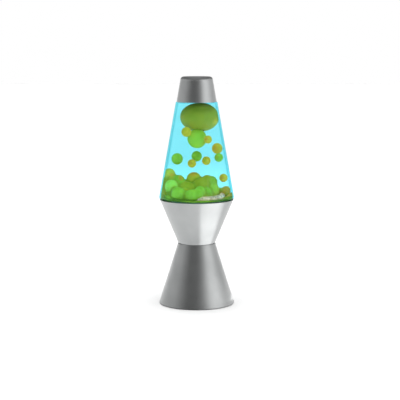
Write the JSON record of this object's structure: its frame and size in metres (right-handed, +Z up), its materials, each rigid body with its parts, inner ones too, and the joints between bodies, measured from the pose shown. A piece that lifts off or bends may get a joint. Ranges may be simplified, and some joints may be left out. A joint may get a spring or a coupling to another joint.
{
  "type": "lava lamp",
  "caption": "Miniature battery-lit lava lamp: a clear tapered bottle of blue liquid and green wax on an hourglass silver base, with a silver cap.",
  "frame": {"origin": "centre of the standing face", "axes": "+Z up along the lamp's axis"},
  "size_m": [0.0338, 0.0338, 0.102],
  "materials": {
    "silver_shell": "satin silver paint on plastic",
    "grey_plastic": "matte",
    "black_plastic": "matte",
    "screw_steel": "satin",
    "cell_steel": "satin",
    "coil_steel": "polished",
    "contact_metal": "polished",
    "pad_rubber": "matte",
    "board_green": "satin",
    "led_lens": "clear",
    "window_clear": "frosted",
    "wire_red": "matte",
    "wire_black": "matte",
    "bottle_clear": "clear",
    "liquid_blue": "clear",
    "wax_green": "waxy"
  },
  "bodies": {
    "base": {"foot_shell": "silver_shell", "base_cone": "silver_shell", "shell_screws": "screw_steel", "bottom_plate": "grey_plastic", "plate_screws": "screw_steel", "foot_pad": "pad_rubber", "button_cell_1": "cell_steel", "button_cell_2": "cell_steel", "button_cell_3": "cell_steel", "contact_spring": "contact_metal", "contact_rivet": "contact_metal", "led_board": "board_green", "board_screws": "screw_steel", "led": "led_lens", "resistor": "black_plastic", "wire_positive": "wire_red", "wire_negative": "wire_black", "switch_housing": "black_plastic", "switch_terminals": "contact_metal", "light_window": "window_clear"},
    "slider": {"switch_slider": "black_plastic"},
    "door": {"battery_door": "grey_plastic", "door_contact": "contact_metal"},
    "screw": {"door_screw": "screw_steel"},
    "bottle": {"bottle": "bottle_clear", "bottle_stopper": "black_plastic", "stopper_seal": "pad_rubber", "liquid": "liquid_blue", "wax_crown": "wax_green", "wax_pool": "wax_green", "coil_ring": "coil_steel"},
    "cap": {"cap": "silver_shell"},
    "wax_blob": {"wax_blob": "wax_green"},
    "wax_drop_1": {"wax_drop_1": "wax_green"},
    "wax_drop_2": {"wax_drop_2": "wax_green"},
    "wax_drop_3": {"wax_drop_3": "wax_green"},
    "wax_drop_4": {"wax_drop_4": "wax_green"},
    "wax_drop_5": {"wax_drop_5": "wax_green"},
    "wax_drop_6": {"wax_drop_6": "wax_green"},
    "wax_drop_7": {"wax_drop_7": "wax_green"},
    "wax_drop_8": {"wax_drop_8": "wax_green"},
    "wax_drop_9": {"wax_drop_9": "wax_green"}
  },
  "joints": [
    {"name": "switch_slide", "type": "slide", "parent": "base", "child": "slider", "axis": [1, 0, 0], "range_m": [-0.0022, 0]},
    {"name": "door_lift", "type": "slide", "parent": "base", "child": "door", "axis": [0, 0, -1], "range_m": [0, 0.012]},
    {"name": "door_screw_turn", "type": "hinge", "parent": "door", "child": "screw", "pos_m": [0, -0.0098, 0.0008], "axis": [0, 0, 1], "continuous": true},
    {"name": "bottle_lift", "type": "slide", "parent": "base", "child": "bottle", "axis": [0, 0, 1], "range_m": [0, 0.012]},
    {"name": "cap_lift", "type": "slide", "parent": "bottle", "child": "cap", "axis": [0, 0, 1], "range_m": [0, 0.014]},
    {"name": "wax_blob_drift", "type": "slide", "parent": "bottle", "child": "wax_blob", "axis": [0, 0, 1], "range_m": [-0.002, 0]},
    {"name": "wax_drop_1_drift", "type": "slide", "parent": "bottle", "child": "wax_drop_1", "axis": [0, 0, 1], "range_m": [-0.006, 0.001]},
    {"name": "wax_drop_2_drift", "type": "slide", "parent": "bottle", "child": "wax_drop_2", "axis": [0, 0, 1], "range_m": [-0.005, 0.003]},
    {"name": "wax_drop_3_drift", "type": "slide", "parent": "bottle", "child": "wax_drop_3", "axis": [0, 0, 1], "range_m": [-0.006, 0.0005]},
    {"name": "wax_drop_4_drift", "type": "slide", "parent": "bottle", "child": "wax_drop_4", "axis": [0, 0, 1], "range_m": [-0.003, 0.0015]},
    {"name": "wax_drop_5_drift", "type": "slide", "parent": "bottle", "child": "wax_drop_5", "axis": [0, 0, 1], "range_m": [-0.0015, 0.008]},
    {"name": "wax_drop_6_drift", "type": "slide", "parent": "bottle", "child": "wax_drop_6", "axis": [0, 0, 1], "range_m": [-0.004, 0.008]},
    {"name": "wax_drop_7_drift", "type": "slide", "parent": "bottle", "child": "wax_drop_7", "axis": [0, 0, 1], "range_m": [-0.004, 0.002]},
    {"name": "wax_drop_8_drift", "type": "slide", "parent": "bottle", "child": "wax_drop_8", "axis": [0, 0, 1], "range_m": [-0.005, 0.0015]},
    {"name": "wax_drop_9_drift", "type": "slide", "parent": "bottle", "child": "wax_drop_9", "axis": [0, 0, 1], "range_m": [-0.003, 0.002]}
  ]
}
